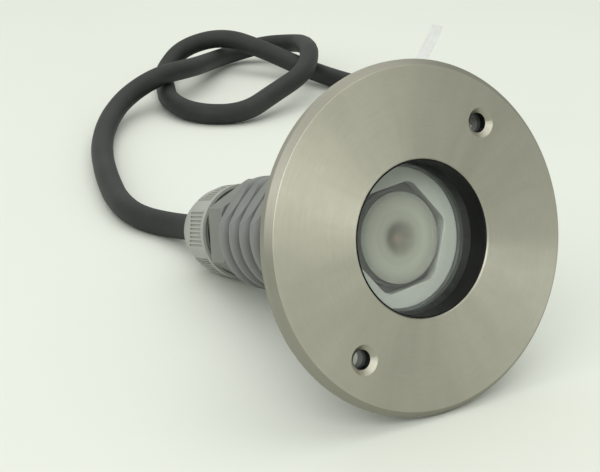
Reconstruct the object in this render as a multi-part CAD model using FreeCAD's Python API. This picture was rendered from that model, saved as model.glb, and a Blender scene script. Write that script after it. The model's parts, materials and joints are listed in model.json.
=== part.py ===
import FreeCAD, Part
import math
import os

# Underwater pond light: a round steel faceplate over a plastic lamp housing with a
# cable gland, lying on its side on a flat surface with its rubber cable tied in a
# loose overhand knot. Millimetres. Each lamp piece is made about the lamp's own
# axis, where a depth is the distance behind the faceplate's front, local +Y is the
# lamp's upper side and local +X its right as seen from the front. The lamp is then
# laid down so that the faceplate's rim and the gland nut's shoulder touch Z = 0.

# ---- faceplate -----------------------------------------------------------------
plate_radius = 55.0
plate_thickness = 4.2
plate_bevel = 2.0
aperture_radius = 24.5
aperture_chamfer = 0.4
wall_hole_circle_radius = 42.0
wall_hole_radius = 3.0
countersink_radius = 4.8
wall_hole_line_angle = 49.0

# ---- fits ------------------------------------------------------------------------
thread_fit = 0.06            # radial, between a nut or ring and its thread
seat_fit = 0.15              # radial, between a piece and the bore that holds it
moving_gap = 0.35            # between pieces that move against each other
cable_gap = 0.7              # radial, round the cable where nothing grips it

# ---- plate gasket and housing ------------------------------------------------------
gasket_radius = 48.0
gasket_thickness = 1.5
flange_radius = 48.0
flange_thickness = 3.0
collar_wall = 2.6
collar_set_back = 0.2        # the collar stops short of the faceplate
glass_bore_radius = 28.0
cup_wall = 3.0
cup_length = 25.8            # from the faceplate's back to the cup's rear corner
glass_ledge_depth = 14.0
module_bore_radius = 22.5
cup_floor_depth = 32.0
shoulder_length = 8.0
body_radius = 20.6           # over the ribs
rib_height = 2.2
rib_pitch = 7.6
rib_count = 8
rib_land = 2.2               # width of a rib's top
rib_flank = 1.9
body_end_depth = 98.6
last_rib_inset = 3.2         # from the body's end to the middle of the last rib
body_bore_radius = 15.5
body_end_wall = 10.0
wrench_flat_distance = 18.5
wrench_flat_angle = 134.0
wrench_flat_start = 48.0

# ---- glass stack -------------------------------------------------------------------
bezel_lip_wall = 0.6
bezel_lip_inset = 0.5        # behind the faceplate's front
bezel_rear_depth = 8.0
spanner_notch_width = 4.0
spanner_notch_depth = 1.6
glass_thickness = 4.5
window_seal_inner_radius = 22.9

# ---- light engine --------------------------------------------------------------------
hex_ring_front_depth = 15.2
hex_ring_thickness = 4.0
hex_ring_corner_radius = 18.8
hex_ring_corner_round = 5.0
hex_ring_angle = 7.0
lens_radius = 14.5
lens_front_depth = 14.7
lens_rim_thickness = 2.3
lens_cone_front_radius = 13.5
lens_cone_rear_radius = 7.0
lens_dimple_radius = 4.5
lens_dimple_depth = 2.0
lens_pocket_radius = 4.0
lens_pocket_depth = 3.0
carrier_collar_radius = 15.6
carrier_thickness = 6.4
board_radius = 20.0
board_thickness = 1.6
chip_side = 5.0
chip_height = 1.0
chip_dome_radius = 1.9
pad_radius = 19.5
pad_thickness = 0.5
sink_disc_thickness = 4.0
sink_stem_radius = 9.0
sink_fin_radius = 15.0
sink_fin_thickness = 1.6
sink_fin_count = 8
sink_fin_length = 15.0
sink_stem_length = 22.0
board_screw_circle_radius = 16.5
board_screw_radius = 1.5
board_screw_head_radius = 2.75
board_screw_head_height = 1.6
board_screw_length = 5.0
board_screw_count = 3
board_screw_angle = 100.0

# ---- driver -----------------------------------------------------------------------
driver_width = 26.0
driver_thickness = 1.6
driver_length = 37.0
driver_slot_depth = 5.0
driver_surface_height = -5.0     # the populated face, below the lamp's axis
inductor_radius = 4.6
inductor_distance = 11.6         # from the board's front edge
inductor_offset = 5.5
inductor_height = 5.5
capacitor_radius = 3.2
capacitor_length = 11.0
capacitor_distance = 10.6
capacitor_offset = -6.5
controller_length = 5.0
controller_width = 4.0
controller_height = 1.6
controller_distance = 17.6
controller_offset = 6.5
terminal_length = 8.0
terminal_width = 11.0
terminal_height = 8.0
wire_radius = 0.8
wire_offset = 11.0
wire_landing = 9.0               # how far a wire lies along the driver board

# ---- cable gland -------------------------------------------------------------------
gland_washer_radius = 15.8
gland_washer_thickness = 1.6
gland_hex_across_flats = 34.0
gland_hex_length = 10.4
gland_hex_angle = 24.0
gland_hex_chamfer = 0.8
gland_thread_radius = 12.4       # screwed into the housing's end
gland_spigot_radius = 14.6       # thread for the dome nut
gland_spigot_length = 14.0
gland_cavity_radius = 9.6
gland_cavity_length = 12.5
cage_wall = 1.5
cage_length = 16.0
cage_slot_width = 1.4
cage_slot_count = 8
cage_slot_length = 9.0
insert_length = 15.0

# ---- dome nut and thrust washer -------------------------------------------------------
nut_front_gap = 4.0              # open slit between hexagon and nut
nut_collar_radius = 17.9
nut_collar_length = 2.0
nut_shoulder_radius = 17.3
nut_shoulder_distance = 13.6     # from the nut's front edge
nut_length = 24.4
nut_end_radius = 13.6
nut_dome_bulge = 0.08
nut_groove_depth = 0.5
nut_groove_width = 0.75
nut_groove_length = 11.6
nut_groove_pitch = 1.5
nut_groove_count = 9             # on each grip flat
nut_flat_count = 6
nut_flat_distance = 16.3
nut_flat_angle = 167.0
nut_thread_length = 12.0
nut_relief_radius = 16.7         # thin lip round the nut's open front
nut_relief_length = 1.8
thrust_washer_thickness = 1.2
washer_wall = 3.0

# ---- cable ---------------------------------------------------------------------------
cable_radius = 5.2
cable_stripped_depth = 88.0      # where the sheath ends inside the housing
cable_start_inset = 23.0         # from the nut's mouth in to where the free cable starts
core_radius = 1.35
core_spacing = 4.4
core_tail_length = 26.0          # stripped cores at the cable's free end
core_tail_spread = 9.0
ferrule_radius = 1.0
ferrule_length = 8.0
ferrule_collar_radius = 1.3
ferrule_collar_length = 3.0
tag_wrap_gap = 0.05              # radial, between the label's wrap and the cable
tag_wrap_wall = 0.4
tag_width = 7.0
tag_thickness = 0.5
tag_reach = FreeCAD.Vector(24, 2, 28)      # from the cable's top to the flag's tip
tag_leg = 26                               # route leg that the tag is wrapped on

up = FreeCAD.Vector(0, 0, 1)
axis_point = FreeCAD.Vector(0, 0, 0)


# ---- shapes about the lamp's axis ------------------------------------------------------
def disc(radius, front, rear):
    """A solid cylinder about the lamp's axis, from a front depth to a rear depth."""
    return Part.makeCylinder(radius, rear - front, FreeCAD.Vector(0, 0, -rear))


def ring(inner_radius, outer_radius, front, rear):
    """A washer shape about the lamp's axis."""
    return disc(outer_radius, front, rear).cut(disc(inner_radius, front, rear))


def turned(profile):
    """A solid of revolution from (radius, depth) corners, listed round the section."""
    corners = [FreeCAD.Vector(radius, 0, -depth) for radius, depth in profile]
    face = Part.Face(Part.makePolygon(corners + corners[:1]))
    return face.revolve(axis_point, up, 360)


def rod(radius, front, rear, x, y):
    """A cylinder parallel to the lamp's axis."""
    return Part.makeCylinder(radius, rear - front, FreeCAD.Vector(x, y, -rear))


def block(width, height, front, rear, x, y):
    """A box parallel to the lamp's axis, centred across on x and standing on y."""
    return Part.makeBox(width, height, rear - front, FreeCAD.Vector(x - width / 2, y, -rear))


def around(shape, count, first_angle=0.0):
    """Copies of a shape, evenly spaced about the lamp's axis."""
    copies = []
    for index in range(count):
        copy = shape.copy()
        copy.rotate(axis_point, up, first_angle + index * 360.0 / count)
        copies.append(copy)
    return copies


def polar(radius, angle):
    """The x and y of a point at a radius and an angle from local +X."""
    return radius * math.cos(math.radians(angle)), radius * math.sin(math.radians(angle))


def hexagon(corner_radius, first_angle, front, rear):
    """A hexagonal prism about the lamp's axis."""
    corners = []
    for index in range(7):
        x, y = polar(corner_radius, first_angle + 60 * index)
        corners.append(FreeCAD.Vector(x, y, -rear))
    return Part.Face(Part.makePolygon(corners)).extrude(FreeCAD.Vector(0, 0, rear - front))


def upright_edges(solid):
    """The straight edges of a solid that run along the lamp's axis."""
    found = []
    for edge in solid.Edges:
        if abs(edge.tangentAt(edge.FirstParameter).z) > 0.999:
            found.append(edge)
    return found


# ---- depths of the stack --------------------------------------------------------------
flange_front = plate_thickness + gasket_thickness
flange_rear = flange_front + flange_thickness
collar_radius = glass_bore_radius + collar_wall
cup_radius = glass_bore_radius + cup_wall
cup_rear = plate_thickness + cup_length
body_start = cup_rear + shoulder_length
rib_root_radius = body_radius - rib_height
glass_front = bezel_rear_depth
glass_rear = glass_front + glass_thickness
glass_radius = glass_bore_radius - seat_fit
engine_radius = module_bore_radius - seat_fit
hex_ring_rear = hex_ring_front_depth + hex_ring_thickness
lens_rim_rear = lens_front_depth + lens_rim_thickness
carrier_rear = hex_ring_rear + carrier_thickness
board_rear = carrier_rear + board_thickness
pad_rear = board_rear + pad_thickness
sink_disc_rear = pad_rear + sink_disc_thickness
sink_stem_rear = sink_disc_rear + sink_stem_length
driver_front = sink_stem_rear - driver_slot_depth
driver_rear = driver_front + driver_length
gland_hex_front = body_end_depth + gland_washer_thickness
gland_hex_rear = gland_hex_front + gland_hex_length
gland_spigot_rear = gland_hex_rear + gland_spigot_length
cavity_front = gland_spigot_rear - gland_cavity_length
cage_rear = cavity_front + cage_length
nut_front = gland_hex_rear + nut_front_gap
nut_rear = nut_front + nut_length
nut_shoulder_depth = nut_front + nut_shoulder_distance
washer_front = cage_rear + moving_gap
washer_rear = washer_front + thrust_washer_thickness
washer_radius = gland_cavity_radius
nut_cavity_rear = washer_rear + moving_gap
nut_mouth_radius = cable_radius + cable_gap
wall_hole_angles = [wall_hole_line_angle, wall_hole_line_angle + 180.0]
core_offsets = [-core_spacing / 2, core_spacing / 2]


# ---- lamp pieces ------------------------------------------------------------------------
def wall_holes(radius, front, rear):
    """The two screw holes of the faceplate, gasket and flange."""
    holes = []
    for angle in wall_hole_angles:
        x, y = polar(wall_hole_circle_radius, angle)
        holes.append(rod(radius, front, rear, x, y))
    return holes


def make_faceplate():
    """Bevelled steel disc with a chamfered aperture and two countersunk holes."""
    rim_front = plate_radius - plate_bevel
    plate = turned([
        (aperture_radius + aperture_chamfer, 0),
        (rim_front, 0),
        (plate_radius, plate_bevel),
        (plate_radius, plate_thickness),
        (aperture_radius, plate_thickness),
        (aperture_radius, aperture_chamfer),
    ])
    sink_depth = countersink_radius - wall_hole_radius
    cuts = wall_holes(wall_hole_radius, 0, plate_thickness)
    for angle in wall_hole_angles:
        x, y = polar(wall_hole_circle_radius, angle)
        tip = FreeCAD.Vector(x, y, -sink_depth)
        cuts.append(Part.makeCone(wall_hole_radius, countersink_radius, sink_depth, tip))
    return plate.cut(cuts)


def make_plate_gasket():
    """Flat rubber ring between the faceplate and the housing's flange."""
    gasket = ring(collar_radius + seat_fit, gasket_radius, plate_thickness, flange_front)
    return gasket.cut(wall_holes(wall_hole_radius, plate_thickness, flange_front))


def rib_profile():
    """Corners along the ribbed outside of the housing's body, from its end forwards."""
    points = [(rib_root_radius, body_end_depth)]
    first_middle = body_end_depth - last_rib_inset
    for index in range(rib_count):
        middle = first_middle - index * rib_pitch
        points.append((rib_root_radius, middle + rib_land / 2 + rib_flank))
        points.append((body_radius, middle + rib_land / 2))
        points.append((body_radius, middle - rib_land / 2))
        points.append((rib_root_radius, middle - rib_land / 2 - rib_flank))
    return points


def make_housing():
    """Flange, glass cup and ribbed body in one moulding, bored from both ends."""
    collar_front = plate_thickness + collar_set_back
    outside = [
        (0, collar_front),
        (collar_radius, collar_front),
        (collar_radius, flange_front),
        (flange_radius, flange_front),
        (flange_radius, flange_rear),
        (cup_radius, flange_rear),
        (cup_radius, cup_rear),
        (rib_root_radius, body_start),
    ]
    shell = turned(outside + list(reversed(rib_profile())) + [(0, body_end_depth)])
    cuts = [
        disc(glass_bore_radius, collar_front, glass_ledge_depth),
        disc(module_bore_radius, glass_ledge_depth, cup_floor_depth),
        disc(body_bore_radius, cup_floor_depth, body_end_depth - body_end_wall),
        disc(gland_thread_radius + thread_fit, body_end_depth - body_end_wall, body_end_depth),
    ]
    cuts += wall_holes(wall_hole_radius, flange_front, flange_rear)
    reach = body_radius
    for angle in (wrench_flat_angle, wrench_flat_angle + 180.0):
        slab = Part.makeBox(
            reach, 2 * reach, body_end_depth - wrench_flat_start,
            FreeCAD.Vector(wrench_flat_distance, -reach, -body_end_depth))
        slab.rotate(axis_point, up, angle)
        cuts.append(slab)
    return shell.cut(cuts)


def make_bezel_ring():
    """Black ring that screws into the collar, lines the aperture and holds the glass."""
    lip_radius = aperture_radius
    bore_radius = lip_radius - bezel_lip_wall
    thread_radius = glass_bore_radius - thread_fit
    collar_front = plate_thickness + collar_set_back
    body = turned([
        (bore_radius, bezel_lip_inset),
        (lip_radius, bezel_lip_inset),
        (lip_radius, collar_front),
        (thread_radius, collar_front),
        (thread_radius, bezel_rear_depth),
        (bore_radius, bezel_rear_depth),
    ])
    notch_width = thread_radius - lip_radius
    notch = Part.makeBox(
        notch_width, spanner_notch_width, spanner_notch_depth,
        FreeCAD.Vector(lip_radius + bezel_lip_wall, -spanner_notch_width / 2,
                       -collar_front - spanner_notch_depth))
    return body.cut(around(notch, 4, 45))


def make_hex_ring():
    """White retaining ring with a round-cornered hexagonal opening."""
    opening = hexagon(
        hex_ring_corner_radius, hex_ring_angle, hex_ring_front_depth, hex_ring_rear)
    opening = opening.makeFillet(hex_ring_corner_round, upright_edges(opening))
    return disc(engine_radius, hex_ring_front_depth, hex_ring_rear).cut(opening)


def lens_outline(clearance):
    """Corners down the outside of the lens, from its rim to its rear."""
    return [
        (lens_cone_front_radius + clearance, lens_rim_rear),
        (lens_cone_rear_radius + clearance, carrier_rear),
    ]


def make_lens():
    """Frosted collimating lens with a front dimple and a pocket over the LED."""
    rear = carrier_rear - moving_gap
    outside = lens_outline(0)
    lens = turned([
        (0, lens_front_depth + lens_dimple_depth),
        (lens_dimple_radius, lens_front_depth),
        (lens_radius, lens_front_depth),
        (lens_radius, lens_rim_rear),
        outside[0],
        (outside[1][0], rear),
        (lens_pocket_radius, rear),
        (lens_pocket_radius, rear - lens_pocket_depth),
        (0, rear - lens_pocket_depth),
    ])
    return lens


def board_screw_places():
    """The x and y of each board screw."""
    places = []
    for index in range(board_screw_count):
        angle = board_screw_angle + index * 360.0 / board_screw_count
        places.append(polar(board_screw_circle_radius, angle))
    return places


def make_lens_carrier():
    """Dark carrier that centres the lens over the LED board."""
    carrier = turned([
        (0, lens_rim_rear),
        (carrier_collar_radius, lens_rim_rear),
        (carrier_collar_radius, hex_ring_rear),
        (engine_radius, hex_ring_rear),
        (engine_radius, carrier_rear),
        (0, carrier_rear),
    ])
    seat = lens_outline(seat_fit)
    cuts = [turned([(0, lens_rim_rear)] + seat + [(0, carrier_rear)])]
    head_front = carrier_rear - board_screw_head_height - seat_fit
    for x, y in board_screw_places():
        cuts.append(rod(board_screw_head_radius + seat_fit, head_front, carrier_rear, x, y))
    return carrier.cut(cuts)


def make_led_board():
    """Round metal-core circuit board with screw and wire holes."""
    cuts = wire_holes(carrier_rear, board_rear)
    for x, y in board_screw_places():
        cuts.append(rod(board_screw_radius + seat_fit, carrier_rear, board_rear, x, y))
    return disc(board_radius, carrier_rear, board_rear).cut(cuts)


def make_led_chip():
    """Square LED package with its clear dome."""
    package_front = carrier_rear - chip_height
    package = block(chip_side, chip_side, package_front, carrier_rear, 0, -chip_side / 2)
    dome = Part.makeSphere(chip_dome_radius, FreeCAD.Vector(0, 0, -package_front))
    return package.fuse(dome.common(disc(chip_side, 0, carrier_rear))).removeSplitter()


def make_thermal_pad():
    """Soft pad between the LED board and the heat sink."""
    cuts = wire_holes(board_rear, pad_rear)
    for x, y in board_screw_places():
        cuts.append(rod(board_screw_radius + seat_fit, board_rear, pad_rear, x, y))
    return disc(pad_radius, board_rear, pad_rear).cut(cuts)


def wire_places():
    """The x and y of the two LED wires, which lie on the driver board."""
    height = driver_surface_height + wire_radius
    return [(wire_offset, height), (-wire_offset, height)]


def wire_holes(front, rear):
    """Clear holes for the two LED wires."""
    return [rod(wire_radius + seat_fit, front, rear, x, y) for x, y in wire_places()]


def make_heat_sink():
    """Aluminium disc with a finned stem, slotted at its end for the driver board."""
    disc_part = disc(engine_radius, pad_rear, sink_disc_rear)
    stem = disc(sink_stem_radius, sink_disc_rear, sink_stem_rear)
    fin = Part.makeBox(
        sink_fin_radius, sink_fin_thickness, sink_fin_length,
        FreeCAD.Vector(0, -sink_fin_thickness / 2, -sink_disc_rear - sink_fin_length))
    sink = disc_part.fuse([stem] + around(fin, sink_fin_count)).removeSplitter()
    slot = block(
        2 * sink_fin_radius, driver_thickness + 2 * seat_fit, driver_front, sink_stem_rear,
        0, driver_surface_height - driver_thickness - seat_fit)
    screw_rear = carrier_rear + board_screw_length
    holes = [rod(board_screw_radius, pad_rear, screw_rear, x, y)
             for x, y in board_screw_places()]
    return sink.cut([slot] + holes + wire_holes(pad_rear, sink_disc_rear))


def make_board_screws():
    """Pan-head screws that pull the LED board onto the heat sink."""
    screws = []
    for x, y in board_screw_places():
        head = rod(board_screw_head_radius, carrier_rear - board_screw_head_height,
                   carrier_rear, x, y)
        shank = rod(board_screw_radius, carrier_rear, carrier_rear + board_screw_length, x, y)
        screws.append(head.fuse(shank).removeSplitter())
    return Part.makeCompound(screws)


def make_driver_board():
    """Flat circuit board that stands in the heat sink's slot."""
    return block(driver_width, driver_thickness, driver_front, driver_rear,
                 0, driver_surface_height - driver_thickness)


def upright_part(radius, height, depth, x):
    """A round component that stands on the driver board."""
    foot = FreeCAD.Vector(x, driver_surface_height, -depth)
    return Part.makeCylinder(radius, height, foot, FreeCAD.Vector(0, 1, 0))


def make_terminal_block():
    """Terminal block with two clamping bores for the cable's cores."""
    front = driver_rear - terminal_length
    body = block(terminal_width, terminal_height, front, driver_rear, 0, driver_surface_height)
    bore_front = driver_rear - terminal_length / 2
    bores = [rod(core_radius, bore_front, driver_rear, x, 0) for x in core_offsets]
    return body.cut(bores)


def make_gland_body():
    """Gland with a threaded shank, a hexagon and a slim spigot for the dome nut."""
    shank_front = body_end_depth - body_end_wall
    hex_corner = gland_hex_across_flats / math.sqrt(3)
    hexagon_part = hexagon(hex_corner, gland_hex_angle, gland_hex_front, gland_hex_rear)
    rounding = turned([
        (0, gland_hex_front),
        (hex_corner - gland_hex_chamfer, gland_hex_front),
        (hex_corner, gland_hex_front + gland_hex_chamfer),
        (hex_corner, gland_hex_rear - gland_hex_chamfer),
        (hex_corner - gland_hex_chamfer, gland_hex_rear),
        (0, gland_hex_rear),
    ])
    shank = disc(gland_thread_radius, shank_front, gland_hex_front)
    spigot = disc(gland_spigot_radius, gland_hex_rear, gland_spigot_rear)
    solid = hexagon_part.common(rounding).fuse([shank, spigot]).removeSplitter()
    return solid.cut([
        disc(nut_mouth_radius, shank_front, cavity_front),
        disc(gland_cavity_radius, cavity_front, gland_spigot_rear),
    ])


def make_clamp_cage():
    """Split sleeve whose fingers close on the rubber insert."""
    outer = gland_cavity_radius - seat_fit
    sleeve = ring(outer - cage_wall, outer, cavity_front, cage_rear)
    slot = Part.makeBox(
        outer, cage_slot_width, cage_slot_length,
        FreeCAD.Vector(0, -cage_slot_width / 2, -cage_rear))
    return sleeve.cut(around(slot, cage_slot_count))


def make_sealing_insert():
    """Rubber sleeve that seals on the cable."""
    outer = gland_cavity_radius - seat_fit - cage_wall
    return ring(cable_radius, outer, cavity_front, cavity_front + insert_length)


def make_dome_nut():
    """Nut with a smooth collar, six flats grooved for grip and a domed end."""
    dome_start = FreeCAD.Vector(nut_shoulder_radius, 0, -nut_shoulder_depth)
    dome_end = FreeCAD.Vector(nut_end_radius, 0, -nut_rear)
    across = dome_end - dome_start
    outward = FreeCAD.Vector(-across.z, 0, across.x)
    outward.normalize()
    dome_middle = (dome_start + dome_end) * 0.5 + outward * nut_dome_bulge
    collar_rear = nut_front + nut_collar_length
    corners = [
        dome_end,
        FreeCAD.Vector(0, 0, -nut_rear),
        FreeCAD.Vector(0, 0, -nut_front),
        FreeCAD.Vector(nut_collar_radius, 0, -nut_front),
        FreeCAD.Vector(nut_collar_radius, 0, -collar_rear),
        dome_start,
    ]
    edges = [Part.LineSegment(a, b).toShape() for a, b in zip(corners, corners[1:])]
    edges.append(Part.Arc(dome_start, dome_middle, dome_end).toShape())
    body = Part.Face(Part.Wire(edges)).revolve(axis_point, up, 360)
    thread_rear = nut_front + nut_thread_length
    cavity_radius = washer_radius + moving_gap
    cone = turned([
        (0, thread_rear),
        (gland_spigot_radius + thread_fit, thread_rear),
        (cavity_radius, washer_front - moving_gap),
        (cavity_radius, nut_cavity_rear),
        (0, nut_cavity_rear),
    ])
    cuts = [
        disc(nut_relief_radius, nut_front, nut_front + nut_relief_length),
        disc(gland_spigot_radius + thread_fit, nut_front, thread_rear),
        cone,
        disc(nut_mouth_radius, nut_cavity_rear, nut_rear),
    ]
    flat = Part.makeBox(
        nut_collar_radius, 2 * nut_collar_radius, nut_rear - collar_rear,
        FreeCAD.Vector(nut_flat_distance, -nut_collar_radius, -nut_rear))
    cuts += around(flat, nut_flat_count, nut_flat_angle)
    for index in range(nut_groove_count):
        middle = (index - (nut_groove_count - 1) / 2) * nut_groove_pitch
        groove = Part.makeBox(
            nut_collar_radius, nut_groove_width, nut_groove_length,
            FreeCAD.Vector(nut_flat_distance - nut_groove_depth,
                           middle - nut_groove_width / 2, -nut_shoulder_depth))
        cuts += around(groove, nut_flat_count, nut_flat_angle)
    return body.cut(cuts)


def make_thrust_washer():
    """Slip washer between the dome nut and the clamp cage."""
    return ring(washer_radius - washer_wall, washer_radius, washer_front, washer_rear)


def make_core_stub(x):
    """One cable core, from the sheath's cut end into the terminal block."""
    return rod(core_radius, driver_rear - terminal_length / 2, cable_stripped_depth, x, 0)


cable_start_depth = nut_rear - cable_start_inset
controller_front = driver_front + controller_distance

lamp = {
    "faceplate": make_faceplate(),
    "plate_gasket": make_plate_gasket(),
    "housing": make_housing(),
    "bezel_ring": make_bezel_ring(),
    "window_glass": disc(glass_radius, glass_front, glass_rear),
    "window_seal": ring(window_seal_inner_radius, glass_radius, glass_rear, glass_ledge_depth),
    "hex_ring": make_hex_ring(),
    "lens": make_lens(),
    "lens_carrier": make_lens_carrier(),
    "led_chip": make_led_chip(),
    "led_board": make_led_board(),
    "board_screws": make_board_screws(),
    "thermal_pad": make_thermal_pad(),
    "heat_sink": make_heat_sink(),
    "driver_board": make_driver_board(),
    "inductor": upright_part(inductor_radius, inductor_height,
                             driver_front + inductor_distance, inductor_offset),
    "capacitor": upright_part(capacitor_radius, capacitor_length,
                              driver_front + capacitor_distance, capacitor_offset),
    "controller_chip": block(controller_width, controller_height, controller_front,
                             controller_front + controller_length, controller_offset,
                             driver_surface_height),
    "terminal_block": make_terminal_block(),
    "brown_core_inside": make_core_stub(core_offsets[0]),
    "blue_core_inside": make_core_stub(core_offsets[1]),
    "gland_washer": ring(gland_thread_radius, gland_washer_radius,
                         body_end_depth, gland_hex_front),
    "gland_body": make_gland_body(),
    "clamp_cage": make_clamp_cage(),
    "sealing_insert": make_sealing_insert(),
    "thrust_washer": make_thrust_washer(),
    "dome_nut": make_dome_nut(),
    "cable_end": disc(cable_radius, cable_stripped_depth, cable_start_depth),
}
for name, (x, y) in zip(("red_led_wire", "black_led_wire"), wire_places()):
    lamp[name] = rod(wire_radius, carrier_rear + seat_fit, driver_front + driver_slot_depth
                     + wire_landing, x, y)


# ---- the lamp laid down -----------------------------------------------------------------
# It rests on the rear edge of the faceplate's rim and on the nut's shoulder.
tilt = math.atan2(plate_radius - nut_shoulder_radius, nut_shoulder_depth - plate_thickness)
axis_height = plate_radius * math.cos(tilt) + plate_thickness * math.sin(tilt)
front_reach = (plate_radius - plate_bevel) * math.sin(tilt)
rear_reach = nut_rear * math.cos(tilt) + nut_end_radius * math.sin(tilt)
plate_y = (front_reach - rear_reach) / 2      # centres the lamp's box on the origin
laying = FreeCAD.Placement(
    FreeCAD.Vector(0, plate_y, axis_height),
    FreeCAD.Rotation(FreeCAD.Vector(1, 0, 0), 90 - math.degrees(tilt)))


def laid(x, y, depth):
    """A point of the lamp after it is laid down."""
    return laying.multVec(FreeCAD.Vector(x, y, -depth))


parts = {}
for name, shape in lamp.items():
    placed = shape.copy()
    placed.Placement = laying
    parts[name] = placed


# ---- cable --------------------------------------------------------------------------------
# Points of the free cable's route: across and back from the point of the floor under the
# faceplate's centre, and the lift above where the cable rests. It leaves the gland along
# the lamp's axis, runs back and is tied in a loose overhand knot, where it passes over
# itself at the lifted points.
cable_route = [
    (-13, 189, 0),
    (4, 246, 0.8),
    (27, 297, 0),
    (53, 330, 5),
    (80, 341, 12.2),
    (108, 354, 9.8),
    (131, 379, 4.4),
    (156, 402, 0.1),
    (179, 399, 4.5),
    (189, 378, 8.6),
    (180, 353, 13.6),
    (168, 329, 15.6),
    (151, 308, 11.2),
    (127, 299, 5.9),
    (103, 290, 0.2),
    (82, 303, 0),
    (79, 327, 1.7),
    (93, 358, 0),
    (106, 387, 0),
    (126, 401, 9.1),
    (150, 394, 14.3),
    (164, 371, 8.6),
    (174, 345, 2.6),
    (182, 318, 0),
    (188, 290, 0.5),
    (198, 262, 0.5),
    (206, 236, 0),
    (201, 215, 0),
    (190, 194, 0),
]


def rounded_path(points):
    """Straight runs joined by tangent arcs, and the arcs' radii."""
    edges = []
    radii = []
    here = points[0]
    for before, corner, after in zip(points, points[1:], points[2:]):
        run_in = before - corner
        run_out = after - corner
        half_turn = (math.pi - run_in.getAngle(run_out)) / 2
        back = 0.45 * min(run_in.Length, run_out.Length)
        radius = back / math.tan(half_turn)
        run_in.normalize()
        run_out.normalize()
        start = corner + run_in * back
        end = corner + run_out * back
        inward = run_in + run_out
        inward.normalize()
        centre = corner + inward * (radius / math.cos(half_turn))
        middle = centre - inward * radius
        edges.append(Part.LineSegment(here, start).toShape())
        edges.append(Part.Arc(start, middle, end).toShape())
        radii.append(radius)
        here = end
    edges.append(Part.LineSegment(here, points[-1]).toShape())
    return Part.Wire(edges), radii


def tube(points, radius):
    """A round tube along a rounded path."""
    path, radii = rounded_path(points)
    section = Part.Wire(Part.makeCircle(radius, points[0], points[1] - points[0]))
    return path.makePipeShell([section], True, True), path, radii


landing_depth = (axis_height - cable_radius) / math.sin(tilt)
route_points = [laid(0, 0, cable_start_depth), laid(0, 0, landing_depth)]
for x, y, lift in cable_route:
    route_points.append(FreeCAD.Vector(x, plate_y + y, cable_radius + lift))
cable, cable_path, cable_radii = tube(route_points, cable_radius)
parts["cable"] = cable


# ---- free end and label ---------------------------------------------------------------------
def core_tail(side):
    """A bare core and its ferrule, spreading from the sheath's end down to the floor."""
    along = route_points[-1] - route_points[-2]
    along.normalize()
    across = up.cross(along) * side
    start = route_points[-1] + across * (core_spacing / 2)
    rest_height = ferrule_collar_radius + seat_fit
    drop = up * (start.z - rest_height)
    knee = start + along * (core_tail_length / 2) + across * (core_tail_spread / 4) - drop
    tip = start + along * core_tail_length + across * (core_tail_spread / 2) - drop
    first = start + along * (core_tail_length / 5)
    core = tube([start, first, knee, tip], core_radius)[0]
    ahead = tip - knee
    ahead.normalize()
    collar = Part.makeCylinder(ferrule_collar_radius, ferrule_collar_length, tip, ahead)
    ferrule = Part.makeCylinder(ferrule_radius, ferrule_length, tip, ahead)
    return core, collar.fuse(ferrule).removeSplitter()


def make_tag():
    """Paper label wrapped round the cable, with its flag standing up."""
    before, after = route_points[tag_leg], route_points[tag_leg + 1]
    along = after - before
    along.normalize()
    middle = (before + after) * 0.5
    wrap_start = middle - along * (tag_width / 2)
    inner_radius = cable_radius + tag_wrap_gap
    outer = Part.makeCylinder(inner_radius + tag_wrap_wall, tag_width, wrap_start, along)
    wrap = outer.cut(Part.makeCylinder(inner_radius, tag_width, wrap_start, along))
    foot = wrap_start + up * (inner_radius + tag_wrap_wall / 2)
    corners = [foot, foot + along * tag_width]
    corners += [corners[1] + tag_reach, corners[0] + tag_reach]
    normal = along.cross(tag_reach)
    normal.normalize()
    face = Part.Face(Part.makePolygon(corners + corners[:1]))
    face.translate(normal * (-tag_thickness / 2))
    return wrap.fuse(face.extrude(normal * tag_thickness)).removeSplitter()


brown_tail, brown_ferrule = core_tail(1)
blue_tail, blue_ferrule = core_tail(-1)
parts["brown_core_tail"] = brown_tail
parts["blue_core_tail"] = blue_tail
parts["core_ferrules"] = Part.makeCompound([brown_ferrule, blue_ferrule])
parts["cable_tag"] = make_tag()

os.makedirs("parts", exist_ok=True)
for name, shape in parts.items():
    shape.exportStep("parts/" + name + ".step")

print("pieces", len(parts))
print("tilt", round(math.degrees(tilt), 3), "axis height", round(axis_height, 3),
      "plate y", round(plate_y, 3))
print("cable length", round(cable_path.Length, 1))
print("cable volume over section times length",
      round(cable.Volume / (math.pi * cable_radius ** 2 * cable_path.Length), 5))
print("cable arc radii", [round(radius, 1) for radius in cable_radii])
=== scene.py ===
import json
import logging
import math
from dataclasses import dataclass, field
from enum import Enum
from typing import Callable, Dict, List, Optional, Sequence, Tuple

import bmesh
import bpy
from mathutils import Matrix, Vector


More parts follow.
